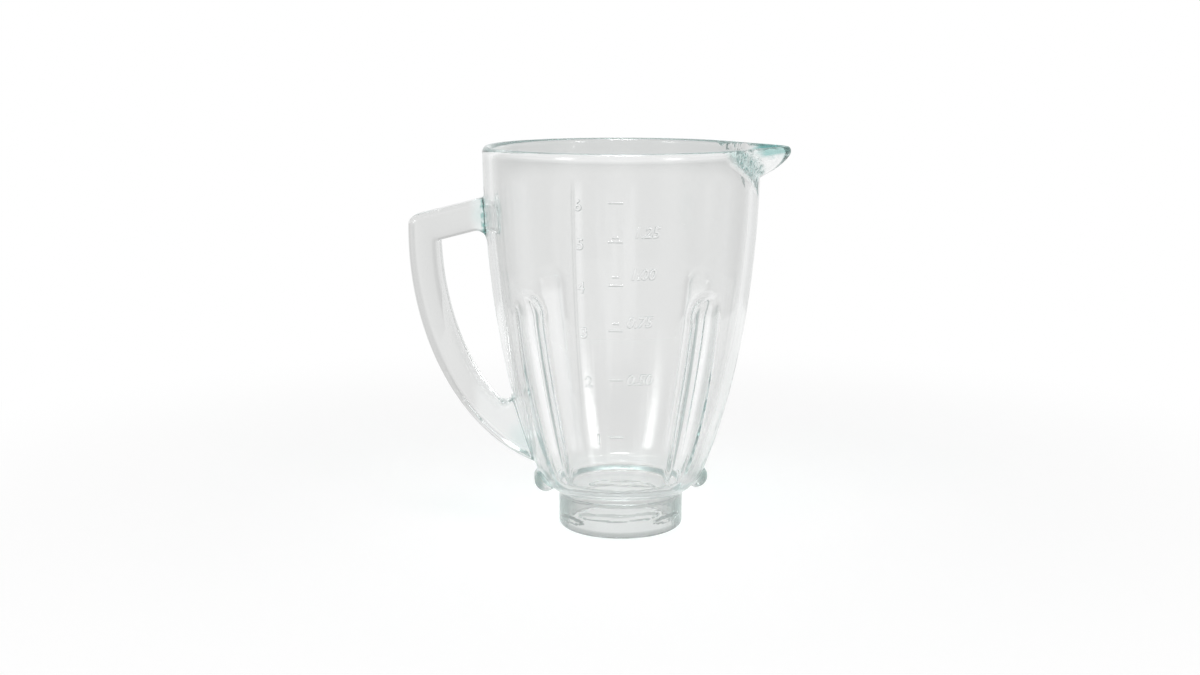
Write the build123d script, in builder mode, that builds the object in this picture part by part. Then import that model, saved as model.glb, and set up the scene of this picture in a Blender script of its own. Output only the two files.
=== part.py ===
import os
from math import acos, cos, degrees, radians, sin, sqrt, tan

from build123d import *

os.makedirs("parts", exist_ok=True)

# Sizes in millimetres and degrees. The axis is Z, the neck stands on Z 0 and the spout points to +X.
jar_height = 192.0
rim_radius = 68.3
rim_round = 2.0
wall = 4.5

# Outside of the body: an ellipse from the rim to the foot, then an arc under to the neck
foot_height = 29.5
foot_radius = 42.4
foot_wall = 5.5

# Neck that takes the blade unit
neck_radius = 31.4
neck_wall = 4.4
neck_round = 1.5
shoulder_height = 18.0
shoulder_wall = 6.5
shoulder_fillet = 1.2

# Flutes pressed into the body, each a rounded groove outside and a rib inside
flute_angle = 47.5
flute_radius = 18.0
flute_depth = 2.0
flute_top = 113.0
flute_foot = 4.4

# Spout pinched out of the rim
spout_reach = 16.2
spout_height = 16.0
spout_belly = 2.0
spout_tip_round = 3.0
spout_wall = 5.5
spout_inset = 0.5

# Handle: a band bent to an ellipse under a sloping top bar
handle_depth = 18.0
handle_thick = 15.0
handle_edge_round = 3.5
handle_center_x = -21.5
handle_center_drop = 44.4
handle_half_width = 84.0
handle_foot_height = 28.6
handle_top_drop = 25.7
handle_slope = 14.5
handle_outer_corner = 5.0
handle_inner_corner = 1.5
handle_root_round = 2.0

# Lugs at the foot, under the handle and under the spout
lug_radius = 6.0
lug_reach = 44.2
lug_height = 24.3
lug_length = 13.0
lug_round = 2.5
lug_turn = 8.5

# The outside ellipse stands upright at the rim and passes through the foot, and so does the inside one
inner_rim = rim_radius - wall
inner_foot = foot_radius - foot_wall
body_drop = (jar_height - foot_height) / sqrt(1 - (foot_radius / rim_radius) ** 2)
inner_drop = (jar_height - foot_height) / sqrt(1 - (inner_foot / inner_rim) ** 2)
bore_radius = neck_radius - neck_wall
floor_height = shoulder_height + shoulder_wall
rim_edge = min(rim_round, 0.46 * wall)
over = 1.0


def body_radius(height):
    return rim_radius * sqrt(1 - ((jar_height - height) / body_drop) ** 2)


def inner_radius(height):
    return inner_rim * sqrt(1 - ((jar_height - height) / inner_drop) ** 2)


def teardrop(radius, tip):
    # A circle about the axis and two lines tangent to it that end in a round tip on +X
    center = Vector(tip - spout_tip_round, 0)
    turn = acos((radius - spout_tip_round) / center.X)
    upper = Vector(cos(turn), sin(turn))
    lower = Vector(cos(turn), -sin(turn))
    with BuildLine() as outline:
        Line(upper * radius, center + upper * spout_tip_round)
        ThreePointArc(center + upper * spout_tip_round, Vector(tip, 0), center + lower * spout_tip_round)
        Line(center + lower * spout_tip_round, lower * radius)
        ThreePointArc(lower * radius, Vector(-radius, 0), upper * radius)
    return outline.edges()


def spout_growth(share):
    return 1 - (1 - share) ** spout_belly


# Path of a flute in the XZ plane: along the wall, then past the shoulder and clear of the neck
flute_middle = (flute_top + foot_height) / 2
flute_offset = flute_radius - flute_depth
flute_start = Vector(body_radius(flute_top) + flute_offset, 0, flute_top)
flute_bend = Vector(body_radius(flute_middle) + flute_offset, 0, flute_middle)
flute_end = Vector(foot_radius - flute_foot + flute_radius, 0, shoulder_height - 2 * over)
flute_angles = (flute_angle, 180 - flute_angle, 180 + flute_angle, -flute_angle)

with BuildPart() as flute:
    with BuildLine() as flute_path:
        ThreePointArc(flute_start, flute_bend, flute_end)
    with BuildSketch(flute_path.line ^ 0):
        Circle(flute_radius)
    sweep(path=flute_path.line)
    with Locations(flute_start):
        Sphere(flute_radius)

with BuildPart() as rib:
    with BuildLine() as rib_path:
        ThreePointArc(flute_start, flute_bend, flute_end)
    with BuildSketch(rib_path.line ^ 0):
        Circle(flute_radius + wall)
    sweep(path=rib_path.line)
    with Locations(flute_start):
        Sphere(flute_radius + wall)

# Outside of the spout, through sections that grow towards the rim
with BuildPart() as spout:
    for share in (0, 1 / 3, 2 / 3, 1):
        level = jar_height - spout_height * (1 - share)
        near = body_radius(level) - spout_inset
        with BuildSketch(Plane.XY.offset(level)):
            make_face(teardrop(near, near + 0.3 + spout_reach * spout_growth(share)))
    loft()

# Handle band, with both ends inside the wall
handle_center = (handle_center_x, jar_height - handle_center_drop)
handle_half_height = handle_center[1] - handle_foot_height
bar_rise = tan(radians(handle_slope))
bar_thick = handle_thick / cos(radians(handle_slope))
bar_start = -0.6 * foot_radius
bar_end = handle_center_x - handle_half_width - handle_thick
bar_start_top = jar_height - handle_top_drop + bar_rise * (rim_radius + bar_start)
bar_end_top = jar_height - handle_top_drop + bar_rise * (rim_radius + bar_end)
band_edge = min(handle_edge_round, 0.8 * handle_outer_corner, 0.3 * handle_thick)

with BuildPart() as handle:
    with BuildSketch(Plane.XZ) as window:
        with Locations(handle_center):
            Ellipse(handle_half_width - handle_thick, handle_half_height - handle_thick)
        with BuildLine():
            Polyline(
                (bar_start, bar_start_top - bar_thick),
                (bar_end, bar_end_top - bar_thick),
                (bar_end, 0),
                (bar_start, 0),
                close=True,
            )
        make_face(mode=Mode.INTERSECT)
        fillet(window.vertices().sort_by(Axis.X)[0], handle_inner_corner)
    with BuildSketch(Plane.XZ) as band:
        with Locations(handle_center):
            Ellipse(handle_half_width, handle_half_height)
        with BuildLine():
            Polyline(
                (bar_start, bar_start_top),
                (bar_end, bar_end_top),
                (bar_end, 0),
                (bar_start, 0),
                close=True,
            )
        make_face(mode=Mode.INTERSECT)
        fillet(band.vertices().sort_by(Axis.X)[0], handle_outer_corner)
        add(window.sketch_local, mode=Mode.SUBTRACT)
    extrude(band.sketch, amount=handle_depth / 2, both=True)
    band_edges = handle.edges().filter_by(lambda edge: abs(edge.center().Y) > handle_depth / 4)
    fillet(band_edges.filter_by(lambda edge: edge.center().X < bar_start - 0.1), band_edge)

with BuildPart() as lug:
    with Locations((0, 0, lug_height)):
        Cylinder(lug_radius, lug_length, rotation=(90, 0, 0))
    fillet(lug.edges().filter_by(GeomType.CIRCLE), lug_round)

# Inside of the jar: body, neck and spout, with the ribs left standing
with BuildPart() as cavity:
    with BuildSketch(Plane.XZ):
        with BuildLine():
            inner_side = EllipticalCenterArc(
                (0, jar_height),
                inner_rim,
                inner_drop,
                arc_size=-degrees(acos(inner_foot / inner_rim)),
            )
            TangentArc(inner_side @ 1, (bore_radius, floor_height), tangent=inner_side % 1)
            Polyline(
                (bore_radius, floor_height),
                (bore_radius, -over),
                (0, -over),
                (0, jar_height + over),
                (inner_rim, jar_height + over),
                (inner_rim, jar_height),
            )
        make_face()
    revolve(axis=Axis.Z)
    for share in (0, 1 / 3, 2 / 3, 1):
        level = jar_height + over - (spout_height - wall) * (1 - share)
        near = inner_radius(min(level, jar_height)) - spout_inset
        reach = (spout_reach + wall - spout_wall) * spout_growth(share)
        with BuildSketch(Plane.XY.offset(level)):
            make_face(teardrop(near, near + 0.3 + reach))
    loft()
    for angle in flute_angles:
        add(rib.part, rotation=(0, 0, angle), mode=Mode.SUBTRACT)

with BuildPart() as jar:
    with BuildSketch(Plane.XZ) as outside:
        with BuildLine():
            outer_side = EllipticalCenterArc(
                (0, jar_height),
                rim_radius,
                body_drop,
                arc_size=-degrees(acos(foot_radius / rim_radius)),
            )
            TangentArc(outer_side @ 1, (neck_radius, shoulder_height), tangent=outer_side % 1)
            Polyline(
                (neck_radius, shoulder_height),
                (neck_radius, 0),
                (0, 0),
                (0, jar_height),
                (rim_radius, jar_height),
            )
        make_face()
        fillet(outside.vertices().sort_by_distance((neck_radius, 0))[0], neck_round)
        fillet(outside.vertices().sort_by_distance((neck_radius, shoulder_height))[0], shoulder_fillet)
    revolve(axis=Axis.Z)
    add(spout.part)
    body = jar.part
    add(handle.part)
    fillet(new_edges(body, handle.part, combined=jar.part), handle_root_round)
    with PolarLocations(lug_reach - lug_radius, 2, start_angle=lug_turn):
        add(lug.part)
    for angle in flute_angles:
        add(flute.part, rotation=(0, 0, angle), mode=Mode.SUBTRACT)
    add(cavity.part, mode=Mode.SUBTRACT)
    fillet(jar.faces().sort_by(Axis.Z)[-1].edges(), rim_edge)

part = jar.part
part.label = "jar"
export_step(part, "parts/jar.step")
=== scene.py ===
from math import atan2, cos, pi, radians, sin, sqrt, tan
from types import SimpleNamespace

import bmesh
import bpy
from mathutils import Matrix, Vector
from mathutils.kdtree import KDTree


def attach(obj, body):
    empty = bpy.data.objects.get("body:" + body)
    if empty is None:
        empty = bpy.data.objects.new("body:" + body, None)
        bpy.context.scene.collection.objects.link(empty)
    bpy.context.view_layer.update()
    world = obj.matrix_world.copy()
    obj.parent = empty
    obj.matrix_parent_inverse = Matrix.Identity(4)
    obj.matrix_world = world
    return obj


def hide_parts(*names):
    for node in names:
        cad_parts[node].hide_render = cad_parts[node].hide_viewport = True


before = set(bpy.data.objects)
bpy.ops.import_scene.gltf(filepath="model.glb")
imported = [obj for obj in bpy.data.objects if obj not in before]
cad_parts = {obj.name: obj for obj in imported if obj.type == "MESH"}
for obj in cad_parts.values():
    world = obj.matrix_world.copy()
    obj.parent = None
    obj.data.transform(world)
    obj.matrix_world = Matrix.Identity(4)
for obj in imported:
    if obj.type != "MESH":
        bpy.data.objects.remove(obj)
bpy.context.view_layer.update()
mm = 0.001


# Node maths written as plain sums: each value wraps one socket of a tree
class nodeValue:
    def __init__(self, tree, socket):
        self.tree = tree
        self.socket = socket

    def __add__(self, other):
        return mathNode(self.tree, "ADD", self, other)

    __radd__ = __add__

    def __sub__(self, other):
        return mathNode(self.tree, "SUBTRACT", self, other)

    def __rsub__(self, other):
        return mathNode(self.tree, "SUBTRACT", other, self)

    def __mul__(self, other):
        return mathNode(self.tree, "MULTIPLY", self, other)

    __rmul__ = __mul__

    def __truediv__(self, other):
        return mathNode(self.tree, "DIVIDE", self, other)

    def op(self, operation, *others):
        return mathNode(self.tree, operation, self, *others)


def mathNode(tree, operation, *items):
    node = tree.nodes.new("ShaderNodeMath")
    node.operation = operation
    for slot, item in enumerate(items):
        if isinstance(item, nodeValue):
            tree.links.new(item.socket, node.inputs[slot])
        else:
            node.inputs[slot].default_value = item
    return nodeValue(tree, node.outputs[0])


def clamp01(value):
    return value.op("MAXIMUM", 0.0).op("MINIMUM", 1.0)


def easeStep(value):
    share = clamp01(value)
    return share * share * (3.0 - 2.0 * share)


# Masks that ease from 0 to 1 over a soft edge
def above(value, level, soft):
    return easeStep((value - level) / soft)


def below(value, level, soft):
    return easeStep((level - value) / soft)


def within(value, half, soft):
    return easeStep((half - value.op("ABSOLUTE")) / soft)


# The three parts of a vector socket, and a vector joined from three values
def parted(tree, socket):
    split = tree.nodes.new("ShaderNodeSeparateXYZ")
    tree.links.new(socket, split.inputs[0])
    return [nodeValue(tree, split.outputs[key]) for key in "XYZ"]


def joined(tree, *values):
    join = tree.nodes.new("ShaderNodeCombineXYZ")
    for slot, value in enumerate(values):
        tree.links.new(value.socket, join.inputs[slot])
    return join.outputs[0]


# A geometry tree with one named float input for each size of a piece
def newTree(name, sizes):
    tree = bpy.data.node_groups.new(name, "GeometryNodeTree")
    tree.interface.new_socket("Geometry", in_out="INPUT", socket_type="NodeSocketGeometry")
    tree.interface.new_socket("Geometry", in_out="OUTPUT", socket_type="NodeSocketGeometry")
    for key in sizes:
        tree.interface.new_socket(key, in_out="INPUT", socket_type="NodeSocketFloat")
    start = tree.nodes.new("NodeGroupInput")
    end = tree.nodes.new("NodeGroupOutput")
    size = {key: nodeValue(tree, start.outputs[key]) for key in sizes}
    return tree, start, end, size


# Sets points round the axis, by a radius and a height in millimetres
def setRound(tree, geometry, radius, angle, height):
    move = tree.nodes.new("GeometryNodeSetPosition")
    tree.links.new(geometry, move.inputs["Geometry"])
    radius = radius * mm
    spot = joined(tree, radius * angle.op("COSINE"), radius * angle.op("SINE"), height * mm)
    tree.links.new(spot, move.inputs["Position"])
    return move.outputs[0]


def endTree(tree, end, geometry):
    real = tree.nodes.new("GeometryNodeRealizeInstances")
    tree.links.new(geometry, real.inputs[0])
    paint = tree.nodes.new("GeometryNodeSetMaterial")
    paint.inputs["Material"].default_value = bpy.data.materials["jarGlass"]
    tree.links.new(real.outputs[0], paint.inputs["Geometry"])
    tree.links.new(paint.outputs[0], end.inputs["Geometry"])


def runTree(piece, tree, sizes):
    modifier = piece.modifiers.new(tree.name, "NODES")
    modifier.node_group = tree
    for item in tree.interface.items_tree:
        if item.item_type == "SOCKET" and item.in_out == "INPUT" and item.name in sizes:
            modifier[item.identifier] = float(sizes[item.name])


# Turns what the modifiers make into the piece's own plain mesh
def bakeMesh(piece):
    bpy.context.view_layer.update()
    depsgraph = bpy.context.evaluated_depsgraph_get()
    baked = bpy.data.meshes.new_from_object(piece.evaluated_get(depsgraph))
    piece.modifiers.clear()
    old = piece.data
    piece.data = baked
    bpy.data.meshes.remove(old)


def addPiece(name, mesh):
    piece = bpy.data.objects.new(name, mesh)
    bpy.context.scene.collection.objects.link(piece)
    return piece


def dropPiece(piece):
    mesh = piece.data
    bpy.data.objects.remove(piece)
    bpy.data.meshes.remove(mesh)


def meshFrom(name, points, faces=()):
    mesh = bpy.data.meshes.new(name)
    mesh.from_pydata(points, (), faces)
    mesh.update()
    return mesh


# Jar body in millimetres and degrees: most sizes follow the solid model
jarBody = {
    "columns": 345,
    "crowd": 0.2,            # columns gather at the spout
    "jarHeight": 192.0,
    "rimRadius": 68.3,
    "wall": 4.5,
    "footHeight": 29.5,
    "footRadius": 42.4,
    "footWall": 5.5,
    "neckRadius": 31.4,
    "neckWall": 4.4,
    "neckRound": 2.2,
    "boreRound": 0.7,
    "shoulderHeight": 18.0,
    "shoulderFloor": 24.5,
    "floorFoot": 29.5,       # where the inside turns into the floor
    "fluteAngle": 47.5,
    "fluteRadius": 18.0,
    "fluteDepth": 2.0,
    "fluteTop": 113.0,
    "fluteFoot": 4.4,        # the groove's depth at the foot
    "fluteOver": 2.0,        # its path runs on under the shoulder
    "fluteSoft": 0.6,        # rounding of the groove's edge
    "ribRadius": 22.5,
    "ribRise": 2.0,
    "ribSoft": 2.0,          # rounding of the rib's root inside
    "spoutReach": 15.1,
    "spoutHeight": 15.4,
    "spoutBelly": 2.0,
    "spoutAngle": 38.0,      # where the lip leaves the round rim
    "spoutTip": 2.2,         # degrees of tip rounding
    "rimBead": 0.35,         # band round the rim, which dips under the lip
    "rimShoulder": 4.6,      # the outside of the rim is rounder than its inside
    "beadHeight": 4.5,
    "spoutWall": 5.5,
    "spoutCut": 0.8,         # the lip is shallower inside by this share of the wall
    "threadRise": 1.35,
    "threadMid": 11.0,
    "threadHalf": 1.9,
    "threadSoft": 0.9,
    "threadLead": 6.0,
    "threadStep": 3.7,       # the side ridges lie this much lower
    "threadSpan": 46.0,
    "threadFade": 20.0,
    "flankSpan": 74.0,
    "flankFade": 16.0,
}

# Rows of the wall's section: the height each run ends at and its spacing, and the rounds between runs
sectionRuns = {
    "outside": ((174.0, 0.7), (126.0, 2.8), (100.0, 1.4), (jarBody["footHeight"], 2.4)),
    "inside": ((100.0, 2.6), (128.0, 1.8), (176.0, 3.0), (jarBody["jarHeight"] - jarBody["wall"] / 2, 1.0)),
    "neck": 0.6,
    "ring": 0.8,
    "bore": 2.2,
    "rimTurns": 12,
    "underFoot": 13,
    "neckTurns": 6,
    "boreTurns": 4,
    "floor": 12,
    "shoulderFillet": ((0.9, 0.6), (0.35, -0.2), (0.08, -0.8)),     # out from the neck, up from the shoulder
    "filletDrop": 1.4,
    "floorDrop": 1.6,        # the bore turns into the floor by this round
    "floorRound": 1.8,
    "floorTurn": 62.0,
    "nudge": 0.1,            # short way along a wall that gives its slope
}


def ellipseDrop(top, foot):
    return (jarBody["jarHeight"] - jarBody["footHeight"]) / sqrt(1 - (foot / top) ** 2)


innerRim = jarBody["rimRadius"] - jarBody["wall"]
innerFoot = jarBody["footRadius"] - jarBody["footWall"]
outerDrop = ellipseDrop(jarBody["rimRadius"], jarBody["footRadius"])
innerDrop = ellipseDrop(innerRim, innerFoot)


def outerAt(height):
    return jarBody["rimRadius"] * sqrt(1 - ((jarBody["jarHeight"] - height) / outerDrop) ** 2)


def innerAt(height):
    return innerRim * sqrt(1 - ((jarBody["jarHeight"] - height) / innerDrop) ** 2)


# Arc that leaves a point along a direction and ends at another point
def tangentArc(start, direction, end, count):
    chord = end - start
    base = direction.normalized()
    lean = atan2(direction.x * chord.y - direction.y * chord.x, direction.dot(chord))
    points = []
    for step in range(1, count + 1):
        turn = lean * (step / count)
        length = chord.length * (sin(turn) / sin(lean))
        aim = Vector((base.x * cos(turn) - base.y * sin(turn), base.x * sin(turn) + base.y * cos(turn)))
        points.append(start + aim * length)
    return points


# Even steps through one or more runs, without the first height
def steps(first, *runs):
    heights = []
    for last, size in runs:
        count = max(1, round(abs(last - first) / size))
        heights += [first + (last - first) * step / count for step in range(1, count + 1)]
        first = last
    return heights


# Closed section of the wall: outer radius, inner radius, height, and how far across the wall
def sectionRows():
    j, s = jarBody, sectionRuns
    half = j["wall"] / 2
    top = j["jarHeight"] - half
    bore = j["neckRadius"] - j["neckWall"]
    rows = []
    for step in range(s["rimTurns"] + 1):
        turn = pi * step / s["rimTurns"]
        tall = half if turn < pi / 2 else j["rimShoulder"]
        height = j["jarHeight"] - tall * (1 - sin(turn))
        rows.append((outerAt(top), innerAt(top), height, 0.5 - 0.5 * cos(turn)))
    for height in steps(j["jarHeight"] - j["rimShoulder"], *s["outside"]):
        rows.append((outerAt(height), innerAt(height), height, 1.0))

    # Under the foot, down the neck and round its ring
    foot = Vector((j["footRadius"], j["footHeight"]))
    slope = Vector((outerAt(j["footHeight"]) - outerAt(j["footHeight"] + s["nudge"]), -s["nudge"]))
    fillet = [Vector((j["neckRadius"] + out, j["shoulderHeight"] + up)) for out, up in s["shoulderFillet"]]
    for point in tangentArc(foot, slope, fillet[0], s["underFoot"]):
        rows.append((point.x, innerFoot, point.y, 1.0))
    for point in fillet[1:]:
        rows.append((point.x, bore, point.y, 1.0))
    for height in steps(j["shoulderHeight"] - s["filletDrop"], (j["neckRound"], s["neck"])):
        rows.append((j["neckRadius"], bore, height, 1.0))
    for step in range(1, s["neckTurns"] + 1):
        turn = pi / 2 * step / s["neckTurns"]
        radius = j["neckRadius"] - j["neckRound"] * (1 - cos(turn))
        rows.append((radius, bore, j["neckRound"] * (1 - sin(turn)), 1.0))
    ring = j["neckRadius"] - j["neckRound"]
    inner = bore + j["boreRound"]
    for radius in steps(ring, (inner, s["ring"])):
        rows.append((ring, bore, 0.0, (radius - bore) / (ring - bore)))

    # Up the bore, over the floor and up the inside
    for step in range(1, s["boreTurns"] + 1):
        turn = pi / 2 * step / s["boreTurns"]
        radius = inner - j["boreRound"] * sin(turn)
        rows.append((ring, radius, j["boreRound"] * (1 - cos(turn)), 0.0))
    boreTop = j["shoulderFloor"] - s["floorDrop"]
    for height in steps(j["boreRound"], (boreTop, s["bore"])):
        rows.append((ring, bore, height, 0.0))
    for step in range(1, s["boreTurns"] + 1):
        turn = radians(s["floorTurn"]) * step / s["boreTurns"]
        radius = bore + s["floorRound"] * (1 - cos(turn))
        rows.append((ring, radius, boreTop + s["floorRound"] * sin(turn), 0.0))
    start = Vector((rows[-1][1], rows[-1][2]))
    turnAt = innerAt(j["floorFoot"])
    slope = Vector((turnAt - innerAt(j["floorFoot"] + s["nudge"]), -s["nudge"]))
    floor = tangentArc(Vector((turnAt, j["floorFoot"])), slope, start, s["floor"])
    for point in reversed(floor[:-1]):
        rows.append((j["footRadius"], point.x, point.y, 0.0))
    rows.append((j["footRadius"], turnAt, j["floorFoot"], 0.0))
    for height in steps(j["floorFoot"], *s["inside"])[:-1]:
        rows.append((outerAt(height), innerAt(height), height, 0.0))
    return rows


# Circle in radius and height that the flute's axis follows, through three points
def flutePath():
    j = jarBody
    offset = j["fluteRadius"] - j["fluteDepth"]
    middle = (j["fluteTop"] + j["footHeight"]) / 2
    a = Vector((outerAt(j["fluteTop"]) + offset, j["fluteTop"]))
    b = Vector((outerAt(middle) + offset, middle))
    c = Vector((j["footRadius"] - j["fluteFoot"] + j["fluteRadius"], j["shoulderHeight"] - j["fluteOver"]))
    d = 2 * (a.x * (b.y - c.y) + b.x * (c.y - a.y) + c.x * (a.y - b.y))
    x = (a.dot(a) * (b.y - c.y) + b.dot(b) * (c.y - a.y) + c.dot(c) * (a.y - b.y)) / d
    y = (a.dot(a) * (c.x - b.x) + b.dot(b) * (a.x - c.x) + c.dot(c) * (b.x - a.x)) / d
    return {"pathRadius": x, "pathHeight": y, "pathBend": (a - Vector((x, y))).length, "pathEnd": c.y}


# Groove or rib cut by a round tool along the flute path
def fluteCut(size, base, height, fold, radius, offset, soft):
    level = height.op("MINIMUM", size["fluteTop"]).op("MAXIMUM", size["pathEnd"])
    rise = level - size["pathHeight"]
    run = (size["pathBend"] * size["pathBend"] - rise * rise).op("SQRT")
    center = size["pathRadius"] + run + offset
    past = (height - size["fluteTop"]).op("MAXIMUM", 0.0)
    across = (radius * radius - past * past).op("MAXIMUM", 0.0001).op("SQRT")
    along = across * size["pathBend"] / run
    turn = fold - size["fluteAngle"] * (pi / 180)
    cosine, sine = turn.op("COSINE"), turn.op("SINE")
    alongSquare, acrossSquare = along * along, across * across
    a = cosine * cosine / alongSquare + sine * sine / acrossSquare
    b = center * cosine / alongSquare
    c = center * center / alongSquare - 1.0
    inside = b * b - a * c
    reach = (b - inside.op("MAXIMUM", 0.0).op("SQRT")) / a
    clear = reach + inside.op("LESS_THAN", 0.0) * 1000.0
    return base.op("SMOOTH_MIN", clear, soft)


# Lip drawn out of the round wall, above a line that falls from the rim's bead to the lip's root
def spoutPull(size, base, height, away, cut, reach, bead):
    share = away * (180 / pi) / size["spoutAngle"]
    dip = (1.0 - share * share).op("MAXIMUM", 0.0)
    depth = size["beadHeight"] + (size["spoutHeight"] - size["beadHeight"]) * dip - cut
    level = clamp01((height - size["jarHeight"] + depth) / depth)
    grow = 1.0 - (1.0 - level).op("POWER", size["spoutBelly"])
    tip = size["spoutTip"] * (pi / 180)
    lean = (base / (base + reach)).op("ARCCOSINE") + tip
    soft = (away * away + tip * tip).op("SQRT")
    pull = base / (lean - soft).op("MAXIMUM", 0.0).op("COSINE") - base
    return base + (pull + bead) * grow


def bodyTree(sizes):
    tree, start, end, size = newTree("jarBodyRule", sizes)
    nodes, links = tree.nodes, tree.links
    count = nodes.new("GeometryNodeAttributeDomainSize")
    links.new(start.outputs["Geometry"], count.inputs["Geometry"])
    rows = nodeValue(tree, count.outputs["Point Count"])
    grid = nodes.new("GeometryNodeMeshGrid")
    links.new((size["columns"] + 1.0).socket, grid.inputs["Vertices X"])
    links.new((rows + 1.0).socket, grid.inputs["Vertices Y"])
    place = nodes.new("GeometryNodeInputPosition")
    gridX, gridY, _ = parted(tree, place.outputs[0])
    row = ((gridY + 0.5) * rows).op("ROUND").op("FLOORED_MODULO", rows)

    def sample(kind, socket):
        node = nodes.new("GeometryNodeSampleIndex")
        node.data_type = kind
        links.new(start.outputs["Geometry"], node.inputs["Geometry"])
        links.new(socket, node.inputs["Value"])
        links.new(row.socket, node.inputs["Index"])
        return node.outputs["Value"]

    outer, inner, height = parted(tree, sample("FLOAT_VECTOR", place.outputs[0]))
    named = nodes.new("GeometryNodeInputNamedAttribute")
    named.data_type = "FLOAT"
    named.inputs["Name"].default_value = "across"
    across = nodeValue(tree, sample("FLOAT", named.outputs["Attribute"]))

    turn = (gridX + 0.5) * (2 * pi)
    angle = turn - size["crowd"] * turn.op("SINE")
    away = pi - (angle - pi).op("ABSOLUTE")                # from the spout, 0 to pi
    fold = pi / 2 - (away - pi / 2).op("ABSOLUTE")         # four quarters folded on one

    outer = fluteCut(size, outer, height, fold, size["fluteRadius"], 0.0, size["fluteSoft"])
    ribShift = size["ribRadius"] - size["fluteRadius"] + size["fluteDepth"] - size["wall"] - size["ribRise"]
    inner = fluteCut(size, inner, height, fold, size["ribRadius"], ribShift, size["ribSoft"])
    outer = spoutPull(size, outer, height, away, 0.0, size["spoutReach"], size["rimBead"])
    inReach = size["spoutReach"] + size["wall"] - size["spoutWall"]
    inner = spoutPull(size, inner, height, away, size["wall"] * size["spoutCut"], inReach, 0.0)

    # Thread on each half of the neck: a ridge in the middle and a lower one to each side
    beta = angle.op("FLOORED_MODULO", pi) - pi / 2
    wide = beta.op("ABSOLUTE") * (180 / pi)
    climb = height - size["threadMid"] - size["threadLead"] * beta / (2 * pi)
    front = size["threadHalf"] * below(wide, size["threadSpan"], size["threadFade"])
    front = easeStep((front - climb.op("ABSOLUTE")) / size["threadSoft"])
    flank = above(wide, size["threadSpan"] - size["threadFade"], size["threadFade"])
    flank = size["threadHalf"] * flank * below(wide, size["flankSpan"], size["flankFade"])
    flank = easeStep((flank - (climb + size["threadStep"]).op("ABSOLUTE")) / size["threadSoft"])
    outer = outer + size["threadRise"] * front.op("MAXIMUM", flank)

    shell = setRound(tree, grid.outputs["Mesh"], inner + (outer - inner) * across, angle, height)
    weld = nodes.new("GeometryNodeMergeByDistance")
    weld.inputs["Distance"].default_value = 1e-6
    links.new(shell, weld.inputs["Geometry"])
    endTree(tree, end, weld.outputs[0])
    return tree


def makeBody():
    rows = sectionRows()
    section = meshFrom("jarSection", [row[:3] for row in rows])
    across = section.attributes.new("across", "FLOAT", "POINT")
    across.data.foreach_set("value", [row[3] for row in rows])
    piece = addPiece("jarGlass", section)
    sizes = dict(jarBody, **flutePath())
    runTree(piece, bodyTree(sizes), sizes)
    bakeMesh(piece)
    print("body", len(rows), "rows,", len(piece.data.polygons), "faces")
    return piece


# Handle band between two rails in the XZ plane, in millimetres
handleBand = {
    "depth": 18.0,
    "thick": 15.0,
    "edgeRound": 3.8,
    "centerX": -21.5,
    "centerHeight": 147.6,
    "halfWidth": 84.0,
    "halfHeight": 119.0,
    "topHeight": 166.3,
    "slope": 14.5,
    "outerCorner": 5.0,
    "innerCorner": 1.5,
    "topFlare": 6.0,         # rounds where the window meets the wall
    "footFlare": 4.5,
    "barBury": 2.3,          # the ends stand this deep in the wall
    "bandBury": 2.4,
    "counts": (36, 10, 150),     # points on the bar, the corner and the band
    "frameTurns": 8,
}


# How far a point of the band stands out from the wall
def pastWall(point):
    return -point.x - outerAt(max(point.y, jarBody["footHeight"]))


# One edge of the band: along the bar, round the corner and down to the foot
def railPoints(inset, corner):
    h = handleBand
    barCount, cornerCount, bandCount = h["counts"]
    stride = 0.001
    center = Vector((h["centerX"], h["centerHeight"]))
    wide, tall = h["halfWidth"] - inset, h["halfHeight"] - inset
    rise = tan(radians(h["slope"]))
    drop = inset / cos(radians(h["slope"]))

    def barAt(x):
        return Vector((x, h["topHeight"] - drop + rise * (x + jarBody["rimRadius"])))

    def bandAt(turn):
        return center + Vector((-wide * cos(turn), -tall * sin(turn)))

    # Corner where the bar meets the band, found by halving
    low, high = -pi / 2, pi / 2
    for _ in range(60):
        turn = (low + high) / 2
        point = bandAt(turn)
        if point.y > barAt(point.x).y:
            low = turn
        else:
            high = turn
    tip = bandAt(turn)
    along = (barAt(tip.x + 1) - tip).normalized()
    down = (bandAt(turn + 20 * stride) - tip).normalized()
    half = along.angle(down) / 2
    cut = corner / tan(half)
    first, last = tip + along * cut, tip + down * cut
    middle = tip + (along + down).normalized() * (corner / sin(half))
    # The band ends in the middle of the wall, so that the ends stay inside the glass
    barStart = barAt(-(outerAt(h["topHeight"] - drop) - h["barBury"]))
    enter = turn
    while enter < pi / 2 and pastWall(bandAt(enter)) >= -h["bandBury"]:
        enter += 2 * stride
    points = [barStart.lerp(first, step / barCount) for step in range(barCount)]
    a = atan2(first.y - middle.y, first.x - middle.x)
    b = atan2(last.y - middle.y, last.x - middle.x)
    if b < a:
        b += 2 * pi
    for step in range(cornerCount):
        t = a + (b - a) * step / cornerCount
        points.append(middle + Vector((cos(t), sin(t))) * corner)
    leave = turn
    while (bandAt(leave) - tip).length < cut:
        leave += stride
    for step in range(bandCount + 1):
        points.append(bandAt(leave + (enter - leave) * step / bandCount))
    return points


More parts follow.
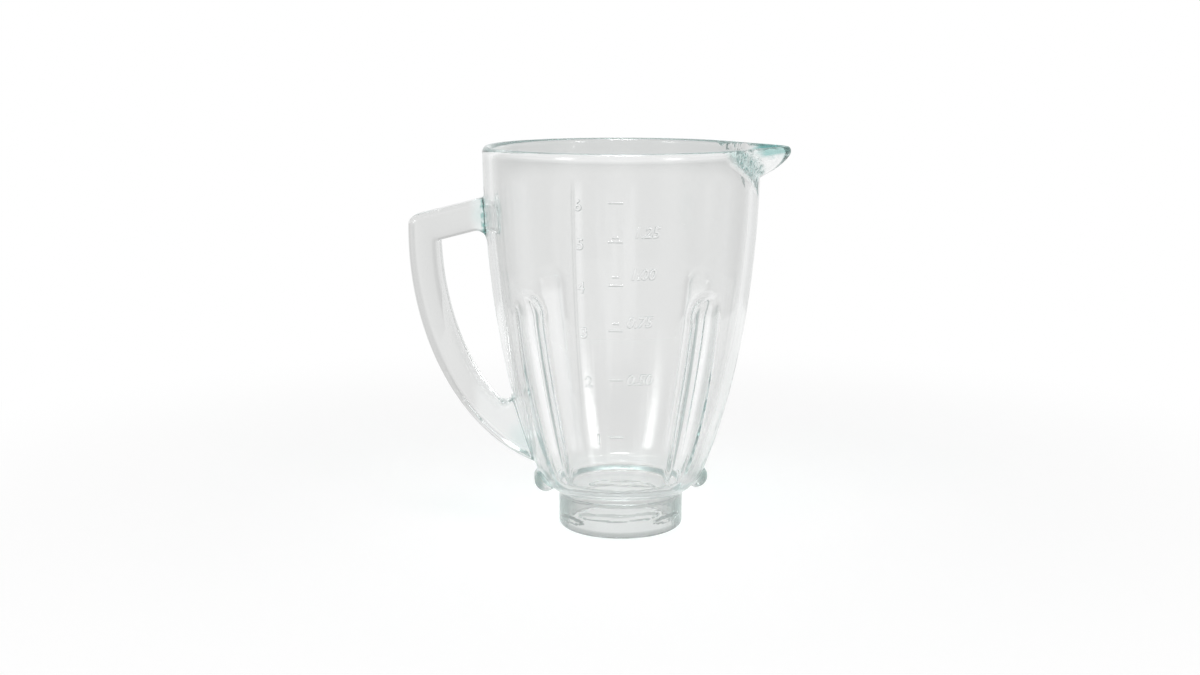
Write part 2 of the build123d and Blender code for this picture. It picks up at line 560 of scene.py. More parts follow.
# Corners of a rounded rectangle: side across the band, side in depth, and the corner's arc
def roundedFrame(segments):
    loop = []
    for quarter in range(4):
        for step in range(segments + 1):
            turn = pi / 2 * (quarter + step / segments)
            sx = 1 if quarter in (0, 3) else -1
            sy = 1 if quarter in (0, 1) else -1
            loop.append((sx, sy, cos(turn), sin(turn)))
    return loop


# The window's lower end is an arc that touches the band and the wall, then two points go into the wall
def roundFoot(rail):
    flare = handleBand["footFlare"]
    wallRise = 12.0
    aimBack = 14
    buried, buryStep = 2, 1.2
    vertex = max(number for number, spot in enumerate(rail) if pastWall(spot) > 0)
    tip = rail[vertex]
    up = Vector((outerAt(tip.y) - outerAt(tip.y + wallRise), wallRise)).normalized()
    along = (rail[vertex - aimBack] - tip).normalized()
    cut = flare / tan(along.angle(up) / 2)
    start = max(number for number in range(vertex) if (rail[number] - tip).length > cut)
    along = (rail[start] - tip).normalized()
    half = along.angle(up) / 2
    middle = tip + (along + up).normalized() * (flare / sin(half))
    first = rail[start] - middle
    turn = atan2(first.y, first.x)
    arcCount = len(rail) - 1 - start - buried
    for step in range(1, arcCount + buried + 1):
        t = turn + (pi - 2 * half) * min(step / arcCount, 1.0)
        spot = middle + Vector((cos(t), sin(t))) * first.length
        spot.x += buryStep * max(step - arcCount, 0)
        rail[start + step] = spot


def makeHandle():
    h = handleBand
    outer = railPoints(0.0, h["outerCorner"])
    inner = railPoints(h["thick"], h["innerCorner"])
    flare = h["topFlare"]
    for far, near in zip(outer[:h["counts"][0]], inner):
        gap = min(max(-near.x - outerAt(near.y), 0.0), flare)
        near += (near - far).normalized() * (flare - sqrt(flare ** 2 - (flare - gap) ** 2))
    roundFoot(inner)
    loop = roundedFrame(h["frameTurns"])
    points, faces = [], []
    for far, near in zip(outer, inner):
        middle = (far + near) / 2
        reach = (far - near) / 2
        out = reach.normalized()
        for sx, sy, cx, cy in loop:
            across = sx * (reach.length - h["edgeRound"]) + cx * h["edgeRound"]
            depth = sy * (h["depth"] / 2 - h["edgeRound"]) + cy * h["edgeRound"]
            spot = middle + out * across
            points.append((spot.x * mm, depth * mm, spot.y * mm))
    size = len(loop)
    for row in range(len(outer) - 1):
        for k in range(size):
            n = (k + 1) % size
            faces.append((row * size + k, row * size + n, (row + 1) * size + n, (row + 1) * size + k))
    faces.append(tuple(range(size)))
    faces.append(tuple(reversed(range((len(outer) - 1) * size, len(outer) * size))))
    piece = addPiece("handleBand", meshFrom("handleBand", points, faces))
    outwardFaces(piece)
    print("handle", len(piece.data.polygons), "faces")
    return piece


def outwardFaces(piece):
    bm = bmesh.new()
    bm.from_mesh(piece.data)
    bmesh.ops.remove_doubles(bm, verts=bm.verts, dist=1e-7)
    bmesh.ops.recalc_face_normals(bm, faces=bm.faces)
    bm.to_mesh(piece.data)
    bm.free()


# Lugs at the foot, a round bar across with domed edges
footLug = {
    "radius": 6.0,
    "reach": 44.2,
    "height": 24.3,
    "length": 13.0,
    "round": 2.5,
    "turn": 8.5,
    "sides": 40,
    "roundTurns": 6,
}


def makeLugs():
    g = footLug
    radius = g["radius"] * mm
    lift = Matrix.Translation(((g["reach"] - g["radius"]) * mm, 0, g["height"] * mm))
    bm = bmesh.new()
    for angle in (g["turn"], g["turn"] + 180):
        made = bmesh.ops.create_cone(
            bm, cap_ends=True, segments=g["sides"], radius1=radius, radius2=radius, depth=g["length"] * mm
        )
        rims = {edge for vert in made["verts"] for edge in vert.link_edges if len(edge.link_faces) == 2}
        rims = [edge for edge in rims if edge.calc_face_angle(0.0) > 1.0]
        matrix = Matrix.Rotation(radians(angle), 4, "Z") @ lift @ Matrix.Rotation(pi / 2, 4, "X")
        bmesh.ops.transform(bm, matrix=matrix, verts=made["verts"])
        bmesh.ops.bevel(
            bm, geom=rims, offset=g["round"] * mm, segments=g["roundTurns"], profile=0.5, affect="EDGES"
        )
    mesh = bpy.data.meshes.new("footLugs")
    bm.to_mesh(mesh)
    bm.free()
    piece = addPiece("footLugs", mesh)
    outwardFaces(piece)
    print("lugs", len(piece.data.polygons), "faces")
    return piece


# Raised volume scale on the front, laid out flat in millimetres and then wrapped on the wall
volumeScale = {
    "cups": ((57.4, -8.7), (86.7, -13.1), (110.7, -14.9), (132.2, -16.3), (152.4, -16.5), (170.2, -17.4)),
    "litres": ((86.7, 4.6), (114.7, 4.6), (137.2, 6.0), (156.6, 7.8)),
    "smallTicks": (114.1, 136.2, 154.3),
    "tickWide": 6.6,
    "smallWide": 3.0,
    "tickHalf": 0.55,
    "digit": 5.0,
    "digitShare": 0.7,       # a digit's height as a share of the letter size
    "digitRound": 0.45,
    "digitThin": 0.2,
    "cupDrop": 1.3,          # cup numbers sit a little under their ticks
    "cupShift": 1.7,
    "litreStep": 0.25,
    "slant": 0.25,
    "rise": 0.7,
}


# A number lying flat, with rounded edges, added to the mesh
def flatNumber(text, slant, left, middle, bm):
    v = volumeScale
    curve = bpy.data.curves.new("number", "FONT")
    curve.body = text
    curve.size = v["digit"] / v["digitShare"]
    curve.shear = slant
    curve.extrude = v["rise"] - v["digitRound"]
    curve.bevel_depth = v["digitRound"]
    curve.bevel_resolution = 2
    curve.offset = -v["digitThin"]
    curve.resolution_u = 3
    holder = bpy.data.objects.new("number", curve)
    bpy.context.scene.collection.objects.link(holder)
    bpy.context.view_layer.update()
    depsgraph = bpy.context.evaluated_depsgraph_get()
    mesh = bpy.data.meshes.new_from_object(holder.evaluated_get(depsgraph))
    bpy.data.objects.remove(holder)
    bpy.data.curves.remove(curve)
    mesh.transform(Matrix.Translation((left, middle - v["digit"] / 2, 0)))
    bm.from_mesh(mesh)
    bpy.data.meshes.remove(mesh)


# Sets a bar on each point with a width, then wraps bars and numbers on the wall
def scaleTree(sizes):
    tree, start, end, size = newTree("volumeScaleWrap", sizes)
    nodes, links = tree.nodes, tree.links
    wide = nodes.new("GeometryNodeInputNamedAttribute")
    wide.data_type = "FLOAT"
    wide.inputs["Name"].default_value = "tickWide"
    isTick = nodeValue(tree, wide.outputs["Attribute"]).op("GREATER_THAN", 0.1)
    apart = nodes.new("GeometryNodeSeparateGeometry")
    links.new(start.outputs["Geometry"], apart.inputs["Geometry"])
    links.new(isTick.socket, apart.inputs["Selection"])
    bar = nodes.new("GeometryNodeMeshCylinder")
    bar.inputs["Vertices"].default_value = 12
    bar.inputs["Depth"].default_value = 1.0
    links.new(size["tickHalf"].socket, bar.inputs["Radius"])
    lay = nodes.new("GeometryNodeTransform")
    lay.inputs["Rotation"].default_value = (0, pi / 2, 0)
    links.new(bar.outputs["Mesh"], lay.inputs["Geometry"])
    stretch = nodes.new("ShaderNodeCombineXYZ")
    links.new(wide.outputs["Attribute"], stretch.inputs["X"])
    stretch.inputs["Y"].default_value = 1.0
    stretch.inputs["Z"].default_value = 1.0
    ticks = nodes.new("GeometryNodeInstanceOnPoints")
    links.new(apart.outputs["Selection"], ticks.inputs["Points"])
    links.new(lay.outputs["Geometry"], ticks.inputs["Instance"])
    links.new(stretch.outputs[0], ticks.inputs["Scale"])
    real = nodes.new("GeometryNodeRealizeInstances")
    links.new(ticks.outputs[0], real.inputs[0])
    both = nodes.new("GeometryNodeJoinGeometry")
    links.new(real.outputs[0], both.inputs[0])
    links.new(apart.outputs["Inverted"], both.inputs[0])
    place = nodes.new("GeometryNodeInputPosition")
    along, height, out = parted(tree, place.outputs[0])
    drop = (size["jarHeight"] - height) / size["outerDrop"]
    radius = size["rimRadius"] * (1.0 - drop * drop).op("SQRT")
    turn = along / radius - pi / 2
    endTree(tree, end, setRound(tree, both.outputs[0], radius + out, turn, height))
    return tree


def makeScale():
    v = volumeScale
    bm = bmesh.new()
    for number, (height, left) in enumerate(v["cups"], 1):
        flatNumber(str(number), 0.0, left - v["cupShift"], height - v["cupDrop"], bm)
    for number, (height, left) in enumerate(v["litres"], 2):
        flatNumber("%.2f" % (number * v["litreStep"]), v["slant"], left, height, bm)
    bmesh.ops.remove_doubles(bm, verts=bm.verts, dist=1e-4)
    layer = bm.verts.layers.float.new("tickWide")
    for height, _ in v["cups"]:
        bm.verts.new((0, height, 0))[layer] = v["tickWide"]
    for height in v["smallTicks"]:
        bm.verts.new((0, height, 0))[layer] = v["smallWide"]
    mesh = bpy.data.meshes.new("volumeScale")
    bm.to_mesh(mesh)
    bm.free()
    piece = addPiece("volumeScale", mesh)
    sizes = {key: jarBody[key] for key in ("jarHeight", "rimRadius")}
    sizes.update(tickHalf=v["tickHalf"], outerDrop=outerDrop)
    runTree(piece, scaleTree(sizes), sizes)
    bakeMesh(piece)
    outwardFaces(piece)
    print("scale", len(piece.data.polygons), "faces")
    return piece


# One casting: the parts are united, and the seam where they meet is eased
casting = {
    "seamReach": 3.2,
    "seamEdge": 1.3,         # longer edges beside the seam are halved
    "seamPull": 0.6,
    "seamRounds": 10,
    "weld": 0.002,
    "sharpAngle": 50.0,
}


def castTogether(body, parts):
    for part in [body] + parts:
        for polygon in part.data.polygons:
            polygon.material_index = 0
    for number, part in enumerate(parts):
        part.data.materials.clear()
        part.data.materials.append(bpy.data.materials.new("seam%d" % number))
    for part in parts:
        modifier = body.modifiers.new(part.name, "BOOLEAN")
        modifier.operation = "UNION"
        modifier.solver = "MANIFOLD"
        modifier.object = part
        modifier.material_mode = "TRANSFER"
    bakeMesh(body)
    for part in parts:
        dropPiece(part)
    print("cast", len(body.data.polygons), "faces")


# How near each point lies to the seam, from 0 at the reach to 1 on the seam
def seamShares(bm, tree, reach):
    shares = {}
    for vert in bm.verts:
        gap = tree.find(vert.co)[2]
        if gap < reach:
            share = 1 - gap / reach
            shares[vert] = share * share * (3 - 2 * share)
    return shares


def easeSeam(body):
    c = casting
    reach = c["seamReach"] * mm
    bm = bmesh.new()
    bm.from_mesh(body.data)
    bmesh.ops.remove_doubles(bm, verts=bm.verts, dist=c["weld"] * mm)
    bmesh.ops.triangulate(bm, faces=[face for face in bm.faces if len(face.verts) > 4])
    seam = [vert for vert in bm.verts if len({face.material_index for face in vert.link_faces}) > 1]
    print("seam", len(seam), "points, open edges", sum(1 for edge in bm.edges if len(edge.link_faces) != 2))
    tree = KDTree(len(seam))
    for number, vert in enumerate(seam):
        tree.insert(vert.co, number)
    tree.balance()

    near = seamShares(bm, tree, reach)
    edges = {edge for vert in near for edge in vert.link_edges if edge.calc_length() > c["seamEdge"] * mm}
    edges = [edge for edge in edges if edge.verts[0] in near and edge.verts[1] in near]
    bmesh.ops.subdivide_edges(bm, edges=edges, cuts=1, use_grid_fill=True)
    bmesh.ops.triangulate(bm, faces=[face for face in bm.faces if len(face.verts) > 4])
    near = seamShares(bm, tree, reach)
    for _ in range(c["seamRounds"]):
        moved = {}
        for vert, share in near.items():
            around = [edge.other_vert(vert).co for edge in vert.link_edges]
            mean = sum(around, Vector()) / len(around)
            moved[vert] = vert.co.lerp(mean, c["seamPull"] * share)
        for vert, spot in moved.items():
            vert.co = spot
    for face in bm.faces:
        face.material_index = 0
        face.smooth = True
    bmesh.ops.recalc_face_normals(bm, faces=bm.faces)
    bm.to_mesh(body.data)
    bm.free()


# Clear pressed glass: a grey film on its faces, patches of painted highlight and painted shade over it, slow
# upright ripples, and green where it is thick
glassLook = {
    "ior": 1.5,
    "film": (0.885, 0.886, 0.883),
    # The films that follow paint light and shade: white for painted highlights and pale streaks, greys for
    # painted shade, greens for thick glass darkened with painted shade
    "paleStreakAndHighlight": (1.0, 1.0, 1.0),
    "lipGreenAndShade": (0.26, 0.55, 0.52),
    "rootGreenAndShade": (0.22, 0.45, 0.42),
    "foldGreenAndShade": (0.72, 0.86, 0.84),
    "wedgeGreenAndShade": (0.06, 0.30, 0.29),
    "creaseShade": (0.27, 0.34, 0.33),
    "lugGreenAndShade": (0.38, 0.46, 0.44),
    "jointGreenAndShade": (0.62, 0.80, 0.78),
    "gripShade": (0.79, 0.785, 0.78),
    "neckShade": (0.60, 0.615, 0.61),
    "neckSideShade": (0.50, 0.58, 0.56),
    "edgeLineShade": (0.48, 0.50, 0.495),
    "backShade": (0.68, 0.69, 0.685),
    "markShade": (0.30, 0.33, 0.32),
    "tint": (0.35, 0.57, 0.55),
    "density": 3.5,
    "rippleWide": 5.0,       # ripples to a radian round the axis
    "rippleTall": 6.0,       # and to a metre up the wall
    "rippleHeight": 0.00016,
    "pinch": 7.0,            # height of the pinch marks against the ripples
    "pinchScale": 220.0,
    "haze": 0.015,
    "shadowTint": (0.9, 0.95, 0.94),
    "streakTurn": -15.0,     # upright streak at the cup numbers, in degrees from the front
    "streakEdge": -2.2,      # and the darker line beside it
    "wallLean": 0.0021,      # the wall's slope grows by this for each millimetre below the rim
    "neckSkin": 29.0,        # beyond this radius lies the outside of the neck
}


def mixShaders(tree, share, first, second):
    mix = tree.nodes.new("ShaderNodeMixShader")
    for slot, socket in enumerate((share, first, second)):
        tree.links.new(socket, mix.inputs[slot])
    return mix.outputs[0]


# Where a point of the glass lies in millimetres, which way it faces, and how the glass flowed there
def glassPlaces(tree):
    g, j = glassLook, jarBody
    coords = tree.nodes.new("ShaderNodeTexCoord")

    def noise(scale, socket):
        node = tree.nodes.new("ShaderNodeTexNoise")
        node.inputs["Scale"].default_value = scale
        node.inputs["Detail"].default_value = 2.0
        tree.links.new(socket, node.inputs["Vector"])
        return nodeValue(tree, node.outputs["Fac"])

    p = SimpleNamespace()
    x, y, z = (value * 1000.0 for value in parted(tree, coords.outputs["Object"]))
    nx, ny, nz = parted(tree, coords.outputs["Normal"])
    p.x, p.y, p.z = x, y, z
    p.sideways, p.depth = x.op("ABSOLUTE"), y.op("ABSOLUTE")
    p.reach = (x * x + y * y).op("SQRT")
    p.turned = p.depth.op("ARCTAN2", p.sideways) * (180 / pi)
    p.under = nz * -1.0
    p.outward = easeStep((nx * x + ny * y) / p.reach / 0.1)
    p.askew = ((ny * x - nx * y) / p.reach).op("ABSOLUTE")

    # How far a point stands out from the wall, and how much more it faces up than the wall does
    fall = (j["jarHeight"] - z) / outerDrop
    p.stand = p.reach - j["rimRadius"] * (1.0 - fall * fall).op("SQRT")
    p.lift = (j["jarHeight"] - z) * g["wallLean"] - p.under

    # Slow upright waves, and the marks of glass that was pinched while hot
    wide, tall = g["rippleWide"], g["rippleTall"] * mm
    p.slow = noise(1.0, joined(tree, x / p.reach * wide, y / p.reach * wide, z * tall))
    p.crumple = noise(g["pinchScale"], coords.outputs["Object"])

    # Folds at both sides of the spout run down from the rim to its root
    p.fold = within(167.9 + 0.574 * p.depth - z, 6.0, 4.0) * above(x, 48.0, 5.0) * above(p.depth, 8.0, 8.0)
    return p


# A soft ball about a point of the XZ plane
def softBall(p, x, z, inner, outer):
    away = ((p.x - x) * (p.x - x) + (p.z - z) * (p.z - z) + p.y * p.y * 0.6).op("SQRT")
    return below(away, outer, outer - inner)


# Films of painted highlight, painted shade and thick-glass green laid one over another, each with its mask:
# places in millimetres, angles in degrees
def glassPatches(p):
    g, j = glassLook, jarBody
    x, y, z, outward = p.x, p.y, p.z, p.outward
    top, shoulder, fluteTop = j["jarHeight"], j["shoulderHeight"], j["fluteTop"]
    underRim = below(z, top - 10.0, 8.0)
    fluteTurn = p.turned - j["fluteAngle"]
    streakTurn = x.op("ARCTAN2", y * -1.0) * (180 / pi) - g["streakTurn"]
    streak = above(p.slow, 0.46, 0.2) * 0.5 + 0.8 * within(streakTurn, 2.4, 2.0)
    streakLine = outward * within(streakTurn - g["streakEdge"], 0.7, 0.6) * above(z, 60.0, 30.0)
    frontSide = 0.2 + 0.8 * below(y, 10.0, 20.0)
    neckSkin = above(p.reach, g["neckSkin"], 0.6)
    marked = within(x, 24.0, 2.0) * below(y, -30.0, 5.0) * above(z, 50.0, 4.0)
    marked = marked * below(z, top - 14.0, 2.0) * outward
    return (
        # Pale streaks on the wall, and a line of painted shade beside the one at the numbers
        ("paleStreakAndHighlight", clamp01(streak * outward * above(z, 30.0, 12.0) * underRim)),
        ("edgeLineShade", 0.4 * streakLine * underRim),
        # Flutes: a painted highlight in the groove, painted shade where its sides turn
        ("paleStreakAndHighlight", within(fluteTurn, 9.0, 4.0) * below(z, fluteTop + 5.0, 8.0) * above(z, 26.0, 6.0)),
        ("creaseShade", outward * above(p.askew, 0.26, 0.14) * below(z, fluteTop + 15.0, 6.0)
         * above(z, 24.0, 4.0) * within(fluteTurn, 14.0, 2.0) * (0.4 + 0.6 * above(p.turned, 48.0, 3.0))),
        # Painted shade on the grip of the handle and on the rim behind, and a painted highlight on the rim
        # in front
        ("gripShade", below(x, -70.0, 6.0)),
        ("backShade", above(y, 5.0, 30.0) * above(z, top - 20.0, 14.0)),
        ("paleStreakAndHighlight", above(z, top - 6.0, 3.0) * below(y, 20.0, 25.0)),
        # Neck: painted shade on its skin, both sides, both edges and the flanks of the thread
        ("neckShade", neckSkin * frontSide * below(z, shoulder + 1.0, 4.0)),
        ("neckSideShade", 0.8 * above(p.sideways, 24.0, 6.0) * below(z, shoulder - 1.0, 2.0) * neckSkin),
        ("edgeLineShade", frontSide * below(z, 3.4, 1.5)),
        ("edgeLineShade", neckSkin * frontSide * within(z - (shoulder - 1.0), 1.6, 0.8)),
        ("markShade", 0.8 * below(z, shoulder - 2.0, 1.0) * above(z, 3.0, 1.0)
         * above(p.under.op("ABSOLUTE"), 0.15, 0.2)),
        # Roots of the handle: thick-glass green darkened with painted shade, and a broken line of painted
        # shade at the upper root
        ("jointGreenAndShade", softBall(p, -68.0, 158.0, 3.0, 11.0)),
        ("rootGreenAndShade", within(p.stand - 1.2, 1.3, 0.8) * below(x, -50.0, 4.0) * below(z, 170.0, 2.0)
         * above(z, 147.0, 2.0) * above(p.crumple, 0.4, 0.15)),
        ("jointGreenAndShade", 0.5 * softBall(p, -49.0, 44.0, 4.0, 14.0)),
        # Spout: a painted highlight outside, and thick-glass green darkened with painted shade in its folds,
        # on its lip and in the wedge inside
        ("paleStreakAndHighlight", 0.6 * above(x, 62.0, 6.0) * above(z, top - 18.0, 4.0)),
        ("foldGreenAndShade", outward * p.fold),
        ("lipGreenAndShade", above(x, 64.0, 6.0) * above(z, top - 9.0, 4.0) * below(p.under, 0.25, 0.3)),
        ("wedgeGreenAndShade", above(x, 66.0, 4.0) * above(z, top - 6.0, 2.0) * below(p.under, 0.1, 0.2)
         * below(outward, 0.5, 0.3)),
        # Lugs at the foot: thick-glass green darkened with painted shade
        ("lugGreenAndShade", above(p.sideways, 36.5, 4.0) * below(z, 31.0, 4.0)),
        # Raised marks of the scale: a painted highlight above and on the face, painted shade under
        ("paleStreakAndHighlight", marked * above(p.lift, 0.12, 0.3)),
        ("paleStreakAndHighlight", 0.8 * marked * above(p.stand, 0.3, 0.2)),
        ("markShade", marked * above(p.lift * -1.0, 0.12, 0.3)),
    )


def makeGlass():
    g = glassLook
    material = bpy.data.materials.new("jarGlass")
    material.use_nodes = True
    tree = material.node_tree
    nodes, links = tree.nodes, tree.links
    nodes.clear()
    output = nodes.new("ShaderNodeOutputMaterial")
    glass = nodes.new("ShaderNodeBsdfPrincipled")
    glass.inputs["Metallic"].default_value = 0.0
    glass.inputs["IOR"].default_value = g["ior"]
    glass.inputs["Transmission Weight"].default_value = 1.0
    p = glassPlaces(tree)
    patches = glassPatches(p)
    last = None
    for key, mask in patches:
        film = nodes.new("ShaderNodeMix")
        film.data_type = "RGBA"
        links.new(mask.socket, film.inputs["Factor"])
        film.inputs["A"].default_value = (*g["film"], 1)
        film.inputs["B"].default_value = (*g[key], 1)
        if last:
            links.new(last.outputs["Result"], film.inputs["A"])
        last = film
    links.new(last.outputs["Result"], glass.inputs["Base Color"])

    # Ripples on the wall, stronger below, and pinch marks at the folds and the handle's upper root
    waves = p.slow * (0.2 + 0.8 * below(p.z, 140.0, 90.0)) * below(p.stand, 1.5, 1.0)
    pinched = (p.fold + 0.8 * softBall(p, -66.0, 158.0, 5.0, 12.0)) * g["pinch"]
    ripple = nodes.new("ShaderNodeBump")
    ripple.inputs["Strength"].default_value = 1.0
    ripple.inputs["Distance"].default_value = g["rippleHeight"]
    links.new((waves + p.crumple * pinched).socket, ripple.inputs["Height"])
    links.new(ripple.outputs["Normal"], glass.inputs["Normal"])
    links.new((g["haze"] * p.slow).socket, glass.inputs["Roughness"])

    clear = nodes.new("ShaderNodeBsdfTransparent")
    clear.inputs["Color"].default_value = (*g["shadowTint"], 1)
    path = nodes.new("ShaderNodeLightPath")
    surface = mixShaders(tree, path.outputs["Is Shadow Ray"], glass.outputs[0], clear.outputs[0])
    absorb = nodes.new("ShaderNodeVolumeAbsorption")
    absorb.inputs["Color"].default_value = (*g["tint"], 1)
    absorb.inputs["Density"].default_value = g["density"]
    links.new(surface, output.inputs["Surface"])
    links.new(absorb.outputs[0], output.inputs["Volume"])
    print("glass with", len(patches), "patches of film")
    return material


# Set in metres and degrees: pale floor, white surroundings, two tall soft lamps and one overhead
studio = {
    "floorRadius": 0.55,
    "floorSides": 64,
    "floorTone": 0.5,
    "floorGlow": 0.66,
    "bounceTone": 0.85,      # to rays that come neither from the camera nor from the glass
    "edgeFrom": 0.12,        # from here out the floor turns white
    "edgeShare": 0.9,
    # Painted shadow on the floor, seen only through the glass
    "floorShadow": 0.22,      # soft dark patches beside the neck, seen only through the glass
    "patchFrom": 0.03,
    "patchSoft": 0.02,
    "patchReach": 0.14,
    "patchFade": 0.6,
    "spotShare": 0.5,        # and a fainter one under the open neck
    "spotReach": 0.045,
    "spotSoft": 0.015,
    "lampTurn": 45.0,
    "lampFar": 1.3,
    "lampHeight": 0.68,
    "lampWide": 0.55,
    "lampTall": 0.75,
    "lampLevel": 8.0,
    "lampFade": (0.5, 0.4),  # share of a lamp's face that fades at each side
    "lampAim": 0.1,
    "topSize": (0.6, 0.45),
    "topPlace": (0.0, -0.25, 1.35),
    "topLevel": 24.0,
    "surround": 0.15,
    "panels": 8,
    "panelShift": 2.2,
    "panelDepth": 0.2,
    "bandFrom": 0.15,        # sine of the elevation
    "bandTo": 0.4,
    "bandTone": 0.7,
    "ceilingFrom": 0.55,
    "ceilingTo": 0.8,
}


# Rays that have met the glass
def glassRays(tree, path):
    gloss, through = (nodeValue(tree, path.outputs[key]) for key in ("Is Glossy Ray", "Is Transmission Ray"))
    return gloss.op("MAXIMUM", through)


def makeFloor():
    s = studio
    turns = [2 * pi * side / s["floorSides"] for side in range(s["floorSides"])]
    ring = [(s["floorRadius"] * cos(turn), s["floorRadius"] * sin(turn), 0) for turn in turns]
    floor = addPiece("paleFloor", meshFrom("paleFloor", ring, [tuple(range(s["floorSides"]))]))
    material = bpy.data.materials.new("palePaper")
    material.use_nodes = True
    tree = material.node_tree
    nodes, links = tree.nodes, tree.links
    nodes.clear()
    output = nodes.new("ShaderNodeOutputMaterial")
    matt = nodes.new("ShaderNodeBsdfDiffuse")
    matt.inputs["Color"].default_value = (s["floorTone"],) * 3 + (1,)
    glow = nodes.new("ShaderNodeEmission")
    glow.inputs["Strength"].default_value = s["floorGlow"]
    paper = nodes.new("ShaderNodeAddShader")
    links.new(matt.outputs[0], paper.inputs[0])
    links.new(glow.outputs[0], paper.inputs[1])

    # Towards its edge the paper runs out into the white of the room
    place = nodes.new("ShaderNodeTexCoord")
    far = nodes.new("ShaderNodeVectorMath")
    far.operation = "LENGTH"
    links.new(place.outputs["Object"], far.inputs[0])
    away = nodeValue(tree, far.outputs["Value"])
    white = nodes.new("ShaderNodeEmission")
    edge = above(away, s["edgeFrom"], s["floorRadius"] * s["edgeShare"] - s["edgeFrom"])
    seen = mixShaders(tree, edge.socket, paper.outputs[0], white.outputs[0])

    # Painted shadow on the floor: dark patches that only rays through the glass meet
    side = parted(tree, place.outputs["Object"])[0] / away
    beside = above(away, s["patchFrom"], s["patchSoft"])
    beside = beside * below(away, s["patchReach"], s["patchReach"] * s["patchFade"])
    patch = side * side * beside + s["spotShare"] * below(away, s["spotReach"], s["spotSoft"])
    path = nodes.new("ShaderNodeLightPath")
    glassRay = glassRays(tree, path)
    dark = nodes.new("ShaderNodeEmission")
    dark.inputs["Strength"].default_value = 0.0
    patched = mixShaders(tree, (patch * s["floorShadow"] * glassRay).socket, seen, dark.outputs[0])
    plain = nodes.new("ShaderNodeBsdfDiffuse")
    plain.inputs["Color"].default_value = (s["bounceTone"],) * 3 + (1,)
    shown = nodeValue(tree, path.outputs["Is Camera Ray"]).op("MAXIMUM", glassRay)
    links.new(mixShaders(tree, shown.socket, plain.outputs[0], patched), output.inputs["Surface"])
    floor.data.materials.append(material)


# White to the camera, panels and a darker band to the glass, dim to all else
def makeRoom():
    s = studio
    world = bpy.data.worlds.new("studioWhite")
    bpy.context.scene.world = world
    world.use_nodes = True
    tree = world.node_tree
    nodes, links = tree.nodes, tree.links
    nodes.clear()
    output = nodes.new("ShaderNodeOutputWorld")
    white, dim, room = (nodes.new("ShaderNodeBackground") for _ in range(3))
    white.inputs["Color"].default_value = (1, 1, 1, 1)
    dim.inputs["Color"].default_value = (1, 1, 1, 1)
    dim.inputs["Strength"].default_value = s["surround"]
    way = nodes.new("ShaderNodeTexCoord")
    x, y, z = parted(tree, way.outputs["Generated"])
    turn = x.op("ARCTAN2", y) + radians(s["panelShift"])
    low = 1.0 - s["panelDepth"] * (0.5 - 0.5 * (turn * s["panels"]).op("COSINE"))
    wall = low + (s["bandTone"] - low) * above(z, s["bandFrom"], s["bandTo"] - s["bandFrom"])
    tone = wall + (1.0 - wall) * above(z, s["ceilingFrom"], s["ceilingTo"] - s["ceilingFrom"])
    links.new(tone.socket, room.inputs["Color"])
    path = nodes.new("ShaderNodeLightPath")
    unseen = mixShaders(tree, glassRays(tree, path).socket, dim.outputs[0], room.outputs[0])
    surface = mixShaders(tree, path.outputs["Is Camera Ray"], unseen, white.outputs[0])
    links.new(surface, output.inputs["Surface"])


def makeLamps():
    s = studio
    for side in (-1, 1):
        turn = radians(s["lampTurn"]) * side
        place = (s["lampFar"] * sin(turn), -s["lampFar"] * cos(turn), s["lampHeight"])
        addLamp("sideLamp%d" % (side + 2), place, (s["lampWide"], s["lampTall"]), s["lampLevel"])
    addLamp("topLamp", s["topPlace"], s["topSize"], s["topLevel"])


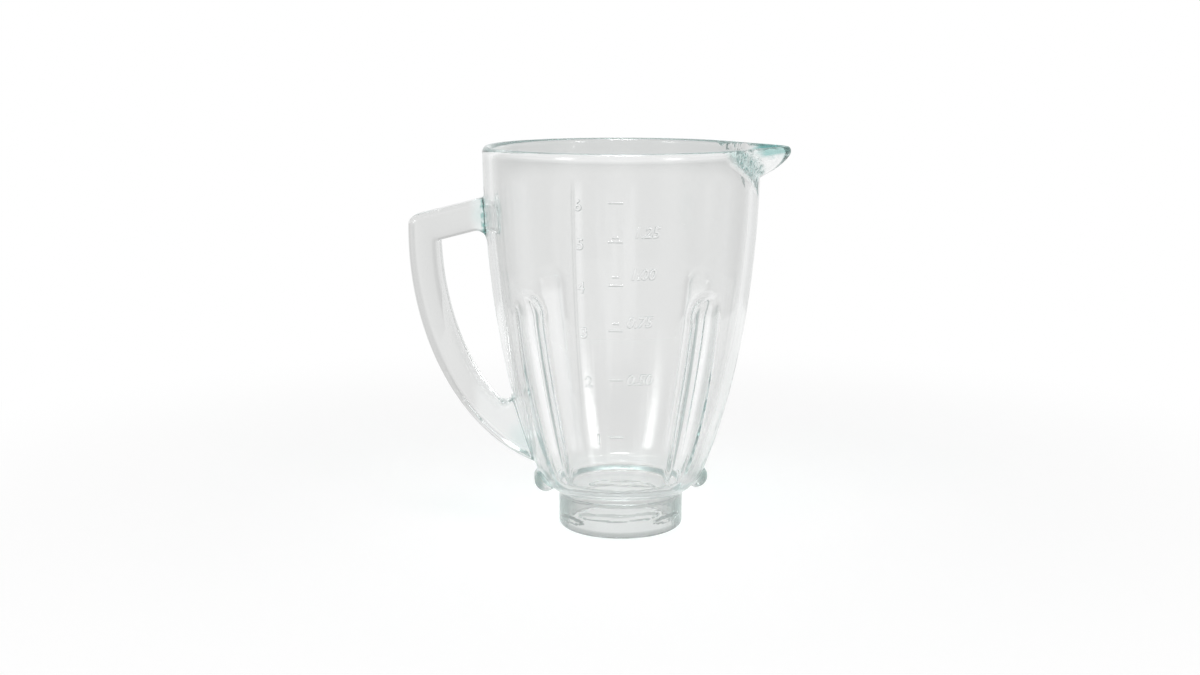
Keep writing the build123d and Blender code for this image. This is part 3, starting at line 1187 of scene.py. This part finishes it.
# A soft lamp that faces the jar, with its level given as the brightness of its face
def addLamp(name, place, size, level):
    lamp = bpy.data.lights.new(name, "AREA")
    lamp.shape = "RECTANGLE"
    lamp.size, lamp.size_y = size
    lamp.energy = level * pi * size[0] * size[1]
    lamp.use_nodes = True
    tree = lamp.node_tree
    face = tree.nodes.new("ShaderNodeNewGeometry")
    u, v, _ = parted(tree, face.outputs["Parametric"])
    fadeU, fadeV = studio["lampFade"]
    fade = easeStep(u / fadeU) * below(u, 1.0, fadeU) * easeStep(v / fadeV) * below(v, 1.0, fadeV)
    tree.links.new(fade.socket, tree.nodes["Emission"].inputs["Strength"])
    spot = bpy.data.objects.new(name, lamp)
    spot.location = place
    aim = Vector((0, 0, studio["lampAim"])) - spot.location
    spot.rotation_euler = aim.to_track_quat("-Z", "Y").to_euler()
    bpy.context.scene.collection.objects.link(spot)


# Camera found from the photograph, for a frame of 1200 by 675
shot = {
    "focus": 1538.0,         # focal length in pixels of that frame
    "frame": 1200.0,
    "sensor": 36.0,
    "far": 0.7598,
    "height": 0.2381,
    "turn": 2.2,
    "pitch": 10.6,
    "axisPixel": 21.3,       # the jar's axis stands this far right of the middle
}


def makeCamera():
    c = shot
    camera = bpy.data.cameras.new("photoCamera")
    camera.sensor_fit = "HORIZONTAL"
    camera.sensor_width = c["sensor"]
    camera.lens = c["sensor"] * c["focus"] / c["frame"]
    holder = bpy.data.objects.new("photoCamera", camera)
    turn = radians(c["turn"])
    holder.location = (c["far"] * sin(turn), -c["far"] * cos(turn), c["height"])
    yaw = turn + atan2(c["axisPixel"], c["focus"])
    holder.rotation_euler = (pi / 2 - radians(c["pitch"]), 0, yaw)
    bpy.context.scene.collection.objects.link(holder)
    bpy.context.scene.camera = holder


glass = makeGlass()
jar = makeBody()
outwardFaces(jar)
castTogether(jar, [makeHandle(), makeLugs()])
easeSeam(jar)
castTogether(jar, [makeScale()])
jar.data.materials.clear()
jar.data.materials.append(glass)
for polygon in jar.data.polygons:
    polygon.material_index = 0
    polygon.use_smooth = True
jar.data.set_sharp_from_angle(angle=radians(casting["sharpAngle"]))
print("jar", len(jar.data.polygons), "faces")
makeFloor()
makeRoom()
makeLamps()
makeCamera()
print("floor, room, lamps and camera set")

# Light meets many faces of the glass on its way
lightBounces = 80
scene = bpy.context.scene
scene.view_settings.view_transform = "Standard"
scene.cycles.max_bounces = lightBounces
scene.cycles.glossy_bounces = lightBounces
scene.cycles.transmission_bounces = lightBounces
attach(jar, "root")
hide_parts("jar")
